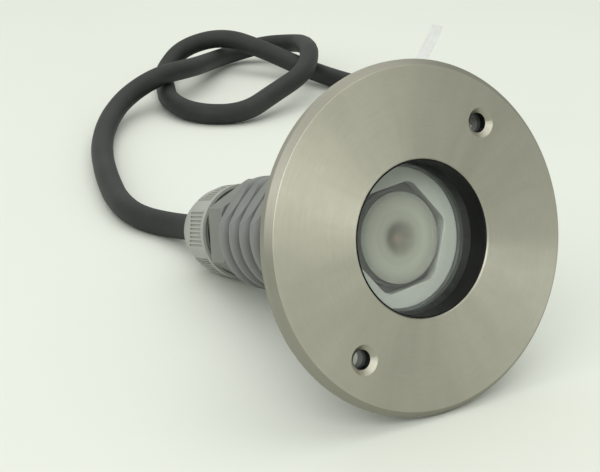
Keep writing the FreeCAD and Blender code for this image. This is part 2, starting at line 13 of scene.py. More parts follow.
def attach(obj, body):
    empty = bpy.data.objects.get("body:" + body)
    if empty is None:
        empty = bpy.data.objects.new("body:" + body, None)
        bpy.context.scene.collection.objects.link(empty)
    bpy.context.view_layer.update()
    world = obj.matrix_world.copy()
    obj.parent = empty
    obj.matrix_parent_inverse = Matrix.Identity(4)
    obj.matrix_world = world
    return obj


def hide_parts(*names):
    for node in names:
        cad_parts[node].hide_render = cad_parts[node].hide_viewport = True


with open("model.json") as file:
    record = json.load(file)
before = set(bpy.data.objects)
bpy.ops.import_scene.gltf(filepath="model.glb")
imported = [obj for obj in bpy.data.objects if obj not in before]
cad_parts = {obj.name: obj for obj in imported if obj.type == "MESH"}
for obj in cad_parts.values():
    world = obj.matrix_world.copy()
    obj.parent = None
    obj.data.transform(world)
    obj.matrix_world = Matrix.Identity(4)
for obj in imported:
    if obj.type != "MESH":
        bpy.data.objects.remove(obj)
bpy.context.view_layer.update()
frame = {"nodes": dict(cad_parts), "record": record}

MM = 0.001

log = logging.getLogger("pond_light")

Colour = Tuple[float, float, float]
Corner = Tuple[float, float]


# ---- the lamp's own frame --------------------------------------------------------------
@dataclass(frozen=True)
class LampFrame:
    """Where the lamp's axis lies.

    A depth is the distance behind the faceplate's front, in millimetres. Local +Y is the
    lamp's upper side and local Z runs forwards out of the faceplate.
    """

    origin: Vector
    turn: float

    @classmethod
    def from_record(cls) -> "LampFrame":
        """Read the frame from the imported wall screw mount.

        Returns:
            The frame whose origin is the middle of the faceplate's front.
        """
        mount = next(m for m in frame["record"]["mounts"] if m["name"] == "wall_screws")
        forward = Vector(mount["axis"]).normalized()
        depth_of_mount = 2.0 * MM
        turn = math.pi / 2 - math.asin(forward.z)
        return cls(Vector(mount["pos_m"]) + forward * depth_of_mount, turn)

    def matrix(self) -> Matrix:
        """Give the transform from local metres to the row frame."""
        return Matrix.Translation(self.origin) @ Matrix.Rotation(self.turn, 4, "X")

    def place(self, x: float, y: float, depth: float) -> Vector:
        """Give the point in the row frame of a local point.

        Args:
            x: Local X in millimetres.
            y: Local Y in millimetres.
            depth: Distance behind the faceplate's front, in millimetres.

        Returns:
            The point in metres.
        """
        return self.matrix() @ (Vector((x, y, -depth)) * MM)


LAMP = LampFrame.from_record()


# ---- node helpers ------------------------------------------------------------------------
class Graph:
    """A node tree with short calls to add and link nodes."""

    def __init__(self, tree: bpy.types.NodeTree) -> None:
        """Keep the tree that nodes are added to."""
        self.tree = tree

    def add(self, kind: str, **settings: object) -> bpy.types.Node:
        """Add a node.

        Args:
            kind: The node's type name.
            **settings: Properties to set on it.

        Returns:
            The new node.
        """
        node = self.tree.nodes.new(kind)
        for name, value in settings.items():
            setattr(node, name, value)
        return node

    def link(self, source: bpy.types.NodeSocket, target: bpy.types.NodeSocket) -> None:
        """Join an output to an input."""
        self.tree.links.new(source, target)

    def feed(self, target: bpy.types.NodeSocket, value: object) -> None:
        """Link a socket, or set a plain value, on an input."""
        if isinstance(value, bpy.types.NodeSocket):
            self.link(value, target)
        elif value is not None:
            target.default_value = value

    def maths(self, operation: str, a: object, b: object = None, c: object = None,
              clamp: bool = False) -> bpy.types.NodeSocket:
        """Add a Math node.

        Args:
            operation: The node's operation.
            a: First input, a socket or a number.
            b: Second input, if it has one.
            c: Third input, if it has one.
            clamp: Whether the result stays between 0 and 1.

        Returns:
            The result's socket.
        """
        node = self.add("ShaderNodeMath", operation=operation, use_clamp=clamp)
        for socket, value in zip(node.inputs, (a, b, c)):
            self.feed(socket, value)
        return node.outputs[0]

    def noise(self, vector: object, scale: float, detail: float = 3.0,
              roughness: float = 0.55) -> bpy.types.NodeSocket:
        """Add a noise texture and give its value, from 0 to 1."""
        node = self.add("ShaderNodeTexNoise")
        self.feed(node.inputs["Vector"], vector)
        node.inputs["Scale"].default_value = scale
        node.inputs["Detail"].default_value = detail
        node.inputs["Roughness"].default_value = roughness
        return node.outputs["Fac"]

    def spread(self, value: object, low: float, high: float, to_low: object = 0.0,
               to_high: object = 1.0, smooth: bool = False) -> bpy.types.NodeSocket:
        """Map a value's range onto another, held at its ends."""
        node = self.add("ShaderNodeMapRange", clamp=True)
        if smooth:
            node.interpolation_type = "SMOOTHSTEP"
        for socket, number in zip(node.inputs, (value, low, high, to_low, to_high)):
            self.feed(socket, number)
        return node.outputs["Result"]

    def blend(self, factor: object, a: object, b: object) -> bpy.types.NodeSocket:
        """Mix two colours."""
        node = self.add("ShaderNodeMix", data_type="RGBA")
        self.feed(node.inputs[0], factor)
        self.feed(node.inputs[6], rgba(a))
        self.feed(node.inputs[7], rgba(b))
        return node.outputs[2]


def rgba(value: object) -> object:
    """Give a colour its alpha, and leave a socket as it is."""
    if isinstance(value, tuple) and len(value) == 3:
        return (*value, 1.0)
    return value


@dataclass(frozen=True)
class EffectGroup:
    """A shader node group with named inputs and outputs, built once.

    Attributes:
        name: The group's name.
        inputs: Each input's name, socket type and default value.
        outputs: Each output's name and socket type.
        build: Fills the group, from its graph and the inputs by name, and gives the
            socket for each output by name.
    """

    name: str
    inputs: Tuple[Tuple[str, str, object], ...]
    outputs: Tuple[Tuple[str, str], ...]
    build: Callable[[Graph, Dict[str, bpy.types.NodeSocket]], Dict[str, bpy.types.NodeSocket]]

    def tree(self) -> bpy.types.NodeTree:
        """Give the node group, made at the first call."""
        known = bpy.data.node_groups.get(self.name)
        if known:
            return known
        tree = bpy.data.node_groups.new(self.name, "ShaderNodeTree")
        for name, kind, value in self.inputs:
            socket = tree.interface.new_socket(name, in_out="INPUT", socket_type=kind)
            if value is not None:
                socket.default_value = rgba(value)
        for name, kind in self.outputs:
            tree.interface.new_socket(name, in_out="OUTPUT", socket_type=kind)
        graph = Graph(tree)
        entry = graph.add("NodeGroupInput")
        leave = graph.add("NodeGroupOutput")
        made = self.build(graph, {s.name: s for s in entry.outputs if s.name})
        for name, socket in made.items():
            graph.link(socket, leave.inputs[name])
        return tree

    def use(self, graph: Graph, **values: object) -> bpy.types.NodeOutputs:
        """Place the group in a material.

        Args:
            graph: The material's graph.
            **values: Input values by name, with _ for a space.

        Returns:
            The group node's outputs.
        """
        node = graph.add("ShaderNodeGroup", node_tree=self.tree())
        for name, value in values.items():
            graph.feed(node.inputs[name.replace("_", " ")], rgba(value))
        return node.outputs


def build_turned_grain(graph: Graph, given: Dict[str, bpy.types.NodeSocket]
                       ) -> Dict[str, bpy.types.NodeSocket]:
    """Fill the group for fine scratches that run in circles about local Z."""
    parts = graph.add("ShaderNodeSeparateXYZ")
    graph.link(given["Vector"], parts.inputs[0])
    x, y, z = parts.outputs
    radius = graph.maths("SQRT", graph.maths("ADD", graph.maths("MULTIPLY", x, x),
                                             graph.maths("MULTIPLY", y, y)))
    unit_x = graph.maths("DIVIDE", x, graph.maths("ADD", radius, 1e-5))
    unit_y = graph.maths("DIVIDE", y, graph.maths("ADD", radius, 1e-5))
    lines = graph.maths("MULTIPLY", graph.maths("SUBTRACT", radius, z),
                        given["Lines"])
    along = graph.add("ShaderNodeCombineXYZ")
    graph.link(graph.maths("MULTIPLY", unit_x, given["Length"]), along.inputs[0])
    graph.link(graph.maths("MULTIPLY", unit_y, given["Length"]), along.inputs[1])
    graph.link(lines, along.inputs[2])
    fine = graph.noise(along.outputs[0], 1.0, 4.0, 0.65)
    broad = graph.add("ShaderNodeCombineXYZ")
    graph.link(graph.maths("MULTIPLY", unit_x, 1.3), broad.inputs[0])
    graph.link(graph.maths("MULTIPLY", unit_y, 1.3), broad.inputs[1])
    graph.link(graph.maths("MULTIPLY", lines, 0.12), broad.inputs[2])
    bands = graph.noise(broad.outputs[0], 1.0, 2.0, 0.5)
    mixed = graph.maths("ADD", graph.maths("MULTIPLY", fine, 0.82),
                        graph.maths("MULTIPLY", bands, 0.18))
    return {"Scratch": mixed, "Bands": bands,
            "Color": graph.blend(graph.spread(mixed, 0.3, 0.7), given["Dark"],
                                 given["Light"])}


TURNED_GRAIN = EffectGroup(
    "turned_grain",
    (("Vector", "NodeSocketVector", None), ("Lines", "NodeSocketFloat", 4000.0),
     ("Length", "NodeSocketFloat", 9.0), ("Dark", "NodeSocketColor", (0.3, 0.3, 0.3)),
     ("Light", "NodeSocketColor", (0.6, 0.6, 0.6))),
    (("Scratch", "NodeSocketFloat"), ("Bands", "NodeSocketFloat"),
     ("Color", "NodeSocketColor")),
    build_turned_grain)


def build_painted_sheen_fans(graph: Graph, given: Dict[str, bpy.types.NodeSocket]
                        ) -> Dict[str, bpy.types.NodeSocket]:
    """Fill the group for a painted sheen: light and dark fans and streaks of painted highlight on
    a turned face.
    """
    parts = graph.add("ShaderNodeSeparateXYZ")
    graph.link(given["Vector"], parts.inputs[0])
    x, y = parts.outputs[0], parts.outputs[1]
    radius = graph.maths("SQRT", graph.maths("ADD", graph.maths("MULTIPLY", x, x),
                                             graph.maths("MULTIPLY", y, y)))
    unit = [graph.maths("DIVIDE", part, graph.maths("ADD", radius, 1e-5)) for part in (x, y)]

    def toward(degrees: float) -> bpy.types.NodeSocket:
        """Give the cosine of the angle from a direction."""
        return graph.maths("ADD", *(graph.maths("MULTIPLY", part, factor) for part, factor in
                                    zip(unit, (math.cos(math.radians(degrees)),
                                               math.sin(math.radians(degrees))))))

    one_sided = toward(165.0)
    two_sided = graph.maths("MULTIPLY", toward(150.0), toward(150.0))
    spokes = graph.add("ShaderNodeCombineXYZ")
    graph.link(graph.maths("MULTIPLY", unit[0], 4.0), spokes.inputs[0])
    graph.link(graph.maths("MULTIPLY", unit[1], 4.0), spokes.inputs[1])
    graph.link(graph.maths("MULTIPLY", radius, 30.0), spokes.inputs[2])
    painted_streaks = graph.maths("SUBTRACT", graph.noise(spokes.outputs[0], 1.0, 3.0, 0.55), 0.5)
    # painted highlight: brighter and darker fans by angle that stand in for the brushed face's
    # reflections
    painted_fan = graph.maths("ADD", graph.maths("MULTIPLY", one_sided, 0.10),
                      graph.maths("MULTIPLY", graph.maths("SUBTRACT", two_sided, 0.5), 0.22))
    gain = graph.maths("ADD", 1.05, graph.maths(
        "ADD", painted_fan, graph.maths("MULTIPLY", painted_streaks, 0.28)))
    scaled = graph.add("ShaderNodeVectorMath", operation="SCALE")
    graph.link(given["Color"], scaled.inputs[0])
    graph.link(gain, scaled.inputs["Scale"])
    return {"Color": scaled.outputs[0]}


# painted sheen: light and dark fans of painted highlight laid into a turned face's colour
PAINTED_SHEEN_GROUP = EffectGroup(
    "painted_sheen_fans",
    (("Vector", "NodeSocketVector", None), ("Color", "NodeSocketColor", (0.5, 0.5, 0.5))),
    (("Color", "NodeSocketColor"),),
    build_painted_sheen_fans)


def build_moulded_skin(graph: Graph, given: Dict[str, bpy.types.NodeSocket]
                       ) -> Dict[str, bpy.types.NodeSocket]:
    """Fill the group for a moulded surface: fine spark texture and faint flow marks."""
    sized = graph.add("ShaderNodeVectorMath", operation="SCALE")
    graph.link(given["Vector"], sized.inputs[0])
    graph.link(given["Scale"], sized.inputs["Scale"])
    spark = graph.noise(sized.outputs[0], 1.0, 4.0, 0.6)
    flow = graph.noise(given["Vector"], 55.0, 3.0, 0.6)
    tint = graph.maths("ADD", graph.maths("MULTIPLY", spark, 0.35),
                       graph.maths("MULTIPLY", flow, 0.65))
    colour = graph.blend(graph.spread(tint, 0.32, 0.68), given["Dark"], given["Light"])
    rough = graph.maths("ADD", given["Roughness"], graph.maths(
        "MULTIPLY", graph.maths("SUBTRACT", tint, 0.5), 0.22))
    return {"Color": colour, "Roughness": rough, "Height": spark}


MOULDED_SKIN = EffectGroup(
    "moulded_skin",
    (("Vector", "NodeSocketVector", None), ("Scale", "NodeSocketFloat", 2500.0),
     ("Dark", "NodeSocketColor", (0.1, 0.1, 0.1)),
     ("Light", "NodeSocketColor", (0.2, 0.2, 0.2)), ("Roughness", "NodeSocketFloat", 0.5)),
    (("Color", "NodeSocketColor"), ("Roughness", "NodeSocketFloat"),
     ("Height", "NodeSocketFloat")),
    build_moulded_skin)


def build_settled_dust(graph: Graph, given: Dict[str, bpy.types.NodeSocket]
                       ) -> Dict[str, bpy.types.NodeSocket]:
    """Fill the group for pale dust and handling marks laid over a colour."""
    specks = graph.spread(graph.noise(given["Vector"], 900.0, 2.0, 0.7), 0.62, 0.74)
    cloud = graph.spread(graph.noise(given["Vector"], 38.0, 3.0, 0.6), 0.42, 0.72)
    mask = graph.maths("MULTIPLY", graph.maths(
        "ADD", graph.maths("MULTIPLY", cloud, 0.6), graph.maths("MULTIPLY", specks, 0.5)),
        given["Amount"], clamp=True)
    return {"Color": graph.blend(mask, given["Color"], given["Dust"]), "Mask": mask}


SETTLED_DUST = EffectGroup(
    "settled_dust",
    (("Vector", "NodeSocketVector", None), ("Color", "NodeSocketColor", (0.1, 0.1, 0.1)),
     ("Dust", "NodeSocketColor", (0.35, 0.35, 0.33)), ("Amount", "NodeSocketFloat", 0.3)),
    (("Color", "NodeSocketColor"), ("Mask", "NodeSocketFloat")),
    build_settled_dust)


# ---- finishes -----------------------------------------------------------------------------
@dataclass(frozen=True)
class Finish:
    """A material of the lamp, made once and used by name."""

    name: str

    def material(self) -> bpy.types.Material:
        """Give the material, made at the first call."""
        known = bpy.data.materials.get(self.name)
        if known:
            return known
        made = bpy.data.materials.new(self.name)
        made.use_nodes = True
        made.node_tree.nodes.clear()
        graph = Graph(made.node_tree)
        shader = graph.add("ShaderNodeBsdfPrincipled")
        output = graph.add("ShaderNodeOutputMaterial")
        graph.link(shader.outputs[0], output.inputs["Surface"])
        self.fill(graph, shader, output)
        return made

    def fill(self, graph: Graph, shader: bpy.types.Node, output: bpy.types.Node) -> None:
        """Set the shader up. Each finish has its own."""
        raise NotImplementedError

    def lamp_vector(self, graph: Graph) -> bpy.types.NodeSocket:
        """Give object coordinates turned into the lamp's own frame, in metres."""
        source = graph.add("ShaderNodeTexCoord")
        turned = graph.add("ShaderNodeMapping", vector_type="TEXTURE")
        turned.inputs["Location"].default_value = LAMP.origin
        turned.inputs["Rotation"].default_value = (LAMP.turn, 0.0, 0.0)
        graph.link(source.outputs["Object"], turned.inputs["Vector"])
        return turned.outputs[0]

    def bump(self, graph: Graph, shader: bpy.types.Node, height: object, strength: float,
             distance: float, edge: float = 0.0) -> None:
        """Feed the shader's normal from a height, over softened edges if wanted."""
        node = graph.add("ShaderNodeBump")
        node.inputs["Strength"].default_value = strength
        node.inputs["Distance"].default_value = distance
        graph.feed(node.inputs["Height"], height)
        if edge > 0:
            soft = graph.add("ShaderNodeBevel", samples=6)
            soft.inputs["Radius"].default_value = edge
            graph.link(soft.outputs[0], node.inputs["Normal"])
        graph.link(node.outputs[0], shader.inputs["Normal"])


@dataclass(frozen=True)
class TurnedMetal(Finish):
    """Metal with fine circular scratches about the lamp's axis."""

    dark: Colour
    light: Colour
    roughness: float
    lines: float = 4200.0
    length: float = 10.0
    relief: float = 0.35
    anisotropy: float = 0.0
    edge: float = 0.0

    def fill(self, graph: Graph, shader: bpy.types.Node, output: bpy.types.Node) -> None:
        """Use the turned grain for colour, roughness and relief."""
        grain = TURNED_GRAIN.use(graph, Vector=self.lamp_vector(graph), Lines=self.lines,
                                 Length=self.length, Dark=self.dark, Light=self.light)
        graph.link(self.colour(graph, grain["Color"]), shader.inputs["Base Color"])
        rough = graph.spread(grain["Scratch"], 0.3, 0.7, self.roughness - 0.06,
                             self.roughness + 0.07)
        graph.link(rough, shader.inputs["Roughness"])
        shader.inputs["Metallic"].default_value = 1.0
        if self.anisotropy > 0:
            shader.inputs["Anisotropic"].default_value = self.anisotropy
            shader.inputs["Anisotropic Rotation"].default_value = 0.25
            tangent = graph.add("ShaderNodeTangent", direction_type="RADIAL", axis="Y")
            graph.link(tangent.outputs[0], shader.inputs["Tangent"])
        self.bump(graph, shader, grain["Scratch"], self.relief, 0.00002, self.edge)

    def colour(self, graph: Graph, grain: bpy.types.NodeSocket) -> bpy.types.NodeSocket:
        """Give the metal's colour from its grain."""
        return grain


@dataclass(frozen=True)
class PlateSteel(TurnedMetal):
    """The faceplate's steel, with painted sheen, painted shade down its two screw holes and on its
    rim.
    """

    hole_circle: float = 0.042
    hole_angle: float = 49.0
    hole_radius: float = 0.0032
    # painted shade: below this depth the screw holes take a near-black colour for their shadowed
    # insides
    hole_shade_depth: float = 0.0017
    hole_shade: Colour = (0.004, 0.004, 0.004)
    rim_radius: float = 0.0531
    # painted shade: a darker colour on the bevel and side wall that tones down their bright
    # reflections
    painted_rim_shade: Colour = (0.34, 0.33, 0.28)

    def colour(self, graph: Graph, grain: bpy.types.NodeSocket) -> bpy.types.NodeSocket:
        """Paint shade in the screw holes, sheen across the face and shade on the bevelled rim."""
        vector = self.lamp_vector(graph)
        parts = graph.add("ShaderNodeSeparateXYZ")
        graph.link(vector, parts.inputs[0])
        # painted sheen: painted highlight fans and streaks over the steel's grain
        with_painted_sheen = PAINTED_SHEEN_GROUP.use(graph, Vector=vector, Color=grain)["Color"]
        angle = math.radians(self.hole_angle)
        gaps = []
        for side in (1.0, -1.0):
            place = (side * self.hole_circle * math.cos(angle),
                     side * self.hole_circle * math.sin(angle))
            x, y = (graph.maths("SUBTRACT", parts.outputs[i], place[i]) for i in (0, 1))
            gaps.append(graph.maths("SQRT", graph.maths(
                "ADD", graph.maths("MULTIPLY", x, x), graph.maths("MULTIPLY", y, y))))
        near = graph.maths("LESS_THAN", graph.maths("MINIMUM", *gaps), self.hole_radius)
        deep = graph.maths("LESS_THAN", parts.outputs[2], -self.hole_shade_depth)
        radius = graph.maths("SQRT", graph.maths(
            "ADD", graph.maths("MULTIPLY", parts.outputs[0], parts.outputs[0]),
            graph.maths("MULTIPLY", parts.outputs[1], parts.outputs[1])))
        outer = graph.maths("GREATER_THAN", radius, self.rim_radius)
        # the rim takes the painted shade colour
        face = graph.blend(outer, with_painted_sheen, self.painted_rim_shade)
        # painted shade: the deep parts of the screw holes take the near-black shade colour
        return graph.blend(graph.maths("MULTIPLY", near, deep), face, self.hole_shade)


@dataclass(frozen=True)
class Moulded(Finish):
    """Moulded plastic, rubber or coated board."""

    dark: Colour
    light: Colour
    roughness: float
    scale: float = 2500.0
    relief: float = 0.25
    dust: float = 0.0
    dust_colour: Colour = (0.35, 0.35, 0.33)
    specular: float = 0.5
    edge: float = 0.0

    def fill(self, graph: Graph, shader: bpy.types.Node, output: bpy.types.Node) -> None:
        """Use the moulded skin, with dust over it where there is any."""
        vector = self.lamp_vector(graph)
        skin = MOULDED_SKIN.use(graph, Vector=vector, Scale=self.scale, Dark=self.dark,
                                Light=self.light, Roughness=self.roughness)
        colour = self.shade(graph, vector, skin["Color"])
        if self.dust > 0:
            colour = SETTLED_DUST.use(graph, Vector=vector, Color=colour,
                                      Dust=self.dust_colour, Amount=self.dust)["Color"]
        graph.link(colour, shader.inputs["Base Color"])
        graph.link(skin["Roughness"], shader.inputs["Roughness"])
        shader.inputs["Specular IOR Level"].default_value = self.specular
        self.bump(graph, shader, skin["Height"], self.relief, 0.00005, self.edge)

    def shade(self, graph: Graph, vector: bpy.types.NodeSocket,
              colour: bpy.types.NodeSocket) -> bpy.types.NodeSocket:
        """Give the colour as it is over the surface."""
        return colour


@dataclass(frozen=True)
class RibbedBody(Moulded):
    """The housing's plastic, with painted shade down the grooves between its ribs."""

    crest: float = 0.0203
    valley: float = 0.0186
    flat_distance: float = 0.0184
    flat_angle: float = 134.0
    # painted shade: dark colour for the shadowed valleys between the ribs
    groove_shade: Colour = (0.035, 0.036, 0.034)
    groove_shade_strength: float = 0.8

    def shade(self, graph: Graph, vector: bpy.types.NodeSocket,
              colour: bpy.types.NodeSocket) -> bpy.types.NodeSocket:
        """Paint shade into the grooves by the distance from the axis, but not on the wrench flats.
        """
        parts = graph.add("ShaderNodeSeparateXYZ")
        graph.link(vector, parts.inputs[0])
        x, y = parts.outputs[0], parts.outputs[1]
        radius = graph.maths("SQRT", graph.maths("ADD", graph.maths("MULTIPLY", x, x),
                                                 graph.maths("MULTIPLY", y, y)))
        angle = math.radians(self.flat_angle)
        across = graph.maths("ADD", graph.maths("MULTIPLY", x, math.cos(angle)),
                             graph.maths("MULTIPLY", y, math.sin(angle)))
        round_part = graph.maths("LESS_THAN", graph.maths("ABSOLUTE", across),
                                 self.flat_distance)
        # painted shade: darkest at the valley floor, none at the crest
        low = graph.spread(radius, self.valley, self.crest, self.groove_shade_strength, 0.0)
        return graph.blend(graph.maths("MULTIPLY", low, round_part), colour, self.groove_shade)


@dataclass(frozen=True)
class LensOptic(Finish):
    """Frosted lens with soft moulded rings, a dark middle and the LED's warm dot."""

    def fill(self, graph: Graph, shader: bpy.types.Node, output: bpy.types.Node) -> None:
        """Colour the face by its distance from the lamp's axis."""
        vector = self.lamp_vector(graph)
        parts = graph.add("ShaderNodeSeparateXYZ")
        graph.link(vector, parts.inputs[0])
        x, y = parts.outputs[0], parts.outputs[1]
        radius = graph.maths("SQRT", graph.maths("ADD", graph.maths("MULTIPLY", x, x),
                                                 graph.maths("MULTIPLY", y, y)))
        ramp = graph.add("ShaderNodeValToRGB")
        graph.link(graph.maths("DIVIDE", radius, 0.0146), ramp.inputs[0])
        stops = (
            (0.0, (0.36, 0.22, 0.17)), (0.07, (0.25, 0.19, 0.145)),
            (0.20, (0.16, 0.15, 0.115)), (0.34, (0.25, 0.24, 0.19)),
            (0.46, (0.47, 0.455, 0.375)), (0.56, (0.42, 0.41, 0.34)),
            (0.64, (0.52, 0.505, 0.42)), (0.86, (0.43, 0.42, 0.35)),
            (0.95, (0.28, 0.28, 0.235)), (1.0, (0.36, 0.355, 0.30)),
        )
        elements = ramp.color_ramp.elements
        ramp.color_ramp.interpolation = "B_SPLINE"
        for place, tint in stops[2:]:
            elements.new(place).color = rgba(tint)
        for element, (place, tint) in zip(sorted(elements, key=lambda e: e.position), stops):
            element.position = place
            element.color = rgba(tint)
        frost = graph.noise(vector, 1800.0, 2.0)
        colour = graph.blend(graph.spread(frost, 0.3, 0.7, 0.0, 0.12),
                             ramp.outputs[0], (0.6, 0.6, 0.55))
        graph.link(colour, shader.inputs["Base Color"])
        rough = graph.spread(frost, 0.3, 0.7, 0.28, 0.42)
        graph.link(rough, shader.inputs["Roughness"])
        shader.inputs["Coat Weight"].default_value = 0.35
        shader.inputs["Coat Roughness"].default_value = 0.12
        self.bump(graph, shader, frost, 0.15, 0.00003)


@dataclass(frozen=True)
class ClearGlass(Finish):
    """Toughened window glass that lets the lamps light what is behind it."""

    tint: Colour = (0.93, 0.97, 0.95)

    def fill(self, graph: Graph, shader: bpy.types.Node, output: bpy.types.Node) -> None:
        """Make clear glass, with smears in its roughness."""
        shader.inputs["Base Color"].default_value = rgba(self.tint)
        shader.inputs["Transmission Weight"].default_value = 1.0
        shader.inputs["IOR"].default_value = 1.5
        smear = graph.noise(self.lamp_vector(graph), 90.0, 4.0, 0.6)
        graph.link(graph.spread(smear, 0.45, 0.75, 0.0, 0.05), shader.inputs["Roughness"])
        light_path = graph.add("ShaderNodeLightPath")
        through = graph.add("ShaderNodeBsdfTransparent")
        through.inputs[0].default_value = rgba((0.93, 0.96, 0.94))
        mix = graph.add("ShaderNodeMixShader")
        graph.link(light_path.outputs["Is Shadow Ray"], mix.inputs[0])
        graph.link(shader.outputs[0], mix.inputs[1])
        graph.link(through.outputs[0], mix.inputs[2])
        graph.link(mix.outputs[0], output.inputs["Surface"])


@dataclass(frozen=True)
class Paper(Finish):
    """Coated label paper with faint fibres and soft cloudy patches."""

    dark: Colour = (0.60, 0.61, 0.60)
    light: Colour = (0.72, 0.73, 0.72)

    def fill(self, graph: Graph, shader: bpy.types.Node, output: bpy.types.Node) -> None:
        """Use fibres for colour and relief."""
        vector = self.lamp_vector(graph)
        fibres = graph.noise(vector, 1400.0, 5.0, 0.7)
        clouds = graph.noise(vector, 160.0, 2.0)
        mixed = graph.maths("MULTIPLY", graph.maths("ADD", fibres, clouds), 0.5)
        graph.link(graph.blend(graph.spread(mixed, 0.35, 0.65), self.dark, self.light),
                   shader.inputs["Base Color"])
        graph.link(graph.spread(mixed, 0.35, 0.65, 0.5, 0.68), shader.inputs["Roughness"])
        self.bump(graph, shader, fibres, 0.2, 0.00004)


class Palette:
    """Every finish on the lamp."""

    brushed_steel = PlateSteel("brushed_steel_finish", (0.455, 0.44, 0.37),
                               (0.535, 0.52, 0.44), 0.50, lines=7000.0, relief=0.12,
                               anisotropy=0.78, edge=0.0003)
    grey_body = RibbedBody("grey_body_finish", (0.135, 0.14, 0.135), (0.185, 0.19, 0.183), 0.42,
                        dust=0.10, edge=0.00025)
    grey_gland = Moulded("grey_gland_finish", (0.134, 0.137, 0.124), (0.182, 0.184, 0.168),
                         0.45, dust=0.12, edge=0.00035)
    # painted shade: near-black stem standing in for the shadow in the slit behind the nut
    painted_shade_stem = Moulded("stem_painted_shade_finish", (0.012, 0.011, 0.010), (0.022, 0.020, 0.018),
                          0.5, edge=0.0002)
    light_nut = Moulded("light_nut_finish", (0.285, 0.29, 0.262), (0.355, 0.36, 0.33), 0.5,
                        dust=0.15, dust_colour=(0.5, 0.5, 0.47), edge=0.00025)
    black_gloss = Moulded("black_bezel_finish", (0.004, 0.004, 0.004), (0.009, 0.009, 0.009),
                          0.5, dust=0.03, specular=0.15, edge=0.0002)
    dark_carrier = Moulded("dark_carrier_finish", (0.13, 0.13, 0.122),
                           (0.18, 0.18, 0.168), 0.5)
    white_ring = Moulded("white_ring_finish", (0.61, 0.605, 0.555), (0.68, 0.675, 0.62), 0.3,
                         relief=0.1, edge=0.0006)
    window_seal = Moulded("window_seal_finish", (0.07, 0.07, 0.066), (0.13, 0.13, 0.122), 0.4,
                          dust=0.3, dust_colour=(0.22, 0.22, 0.205))
    black_seal = Moulded("black_seal_finish", (0.02, 0.02, 0.019), (0.035, 0.035, 0.033), 0.5,
                         dust=0.25, dust_colour=(0.16, 0.16, 0.15))
    cable_rubber = Moulded("cable_rubber_finish", (0.009, 0.0101, 0.009),
                           (0.019, 0.0207, 0.019), 0.62, scale=1600.0, relief=0.4, dust=0.2,
                           dust_colour=(0.09, 0.095, 0.088), specular=0.4)
    aluminium = TurnedMetal("turned_aluminium_finish", (0.55, 0.56, 0.57),
                            (0.75, 0.76, 0.77), 0.3)
    zinc_screw = TurnedMetal("zinc_screw_finish", (0.5, 0.5, 0.48), (0.7, 0.7, 0.67), 0.28)
    tinned = TurnedMetal("tinned_ferrule_finish", (0.55, 0.55, 0.52), (0.75, 0.75, 0.72), 0.25)
    white_board = Moulded("white_board_finish", (0.6, 0.6, 0.58), (0.75, 0.75, 0.72), 0.3)
    green_board = Moulded("green_board_finish", (0.02, 0.13, 0.06), (0.04, 0.22, 0.1), 0.3)
    led_phosphor = Moulded("led_phosphor_finish", (0.6, 0.42, 0.1), (0.8, 0.62, 0.2), 0.35)
    grey_pad = Moulded("grey_pad_finish", (0.3, 0.35, 0.4), (0.45, 0.5, 0.55), 0.6)
    ferrite = Moulded("ferrite_finish", (0.05, 0.05, 0.05), (0.1, 0.1, 0.1), 0.6)
    sleeve = Moulded("capacitor_sleeve_finish", (0.03, 0.04, 0.09), (0.07, 0.09, 0.16), 0.25)
    terminal = Moulded("terminal_finish", (0.02, 0.18, 0.07), (0.05, 0.28, 0.12), 0.4)
    brown_core = Moulded("brown_core_finish", (0.1, 0.045, 0.02), (0.16, 0.075, 0.035), 0.4)
    blue_core = Moulded("blue_core_finish", (0.02, 0.07, 0.24), (0.04, 0.12, 0.34), 0.4)
    red_wire = Moulded("red_wire_finish", (0.35, 0.015, 0.015), (0.5, 0.03, 0.03), 0.4)
    lens = LensOptic("frosted_lens_finish")
    glass = ClearGlass("window_glass_finish")
    paper = Paper("label_paper_finish")


# ---- mesh helpers -------------------------------------------------------------------------
class Side(Enum):
    """Which way a turned shell's axis end is closed."""

    RING = "ring"
    SOLID = "solid"


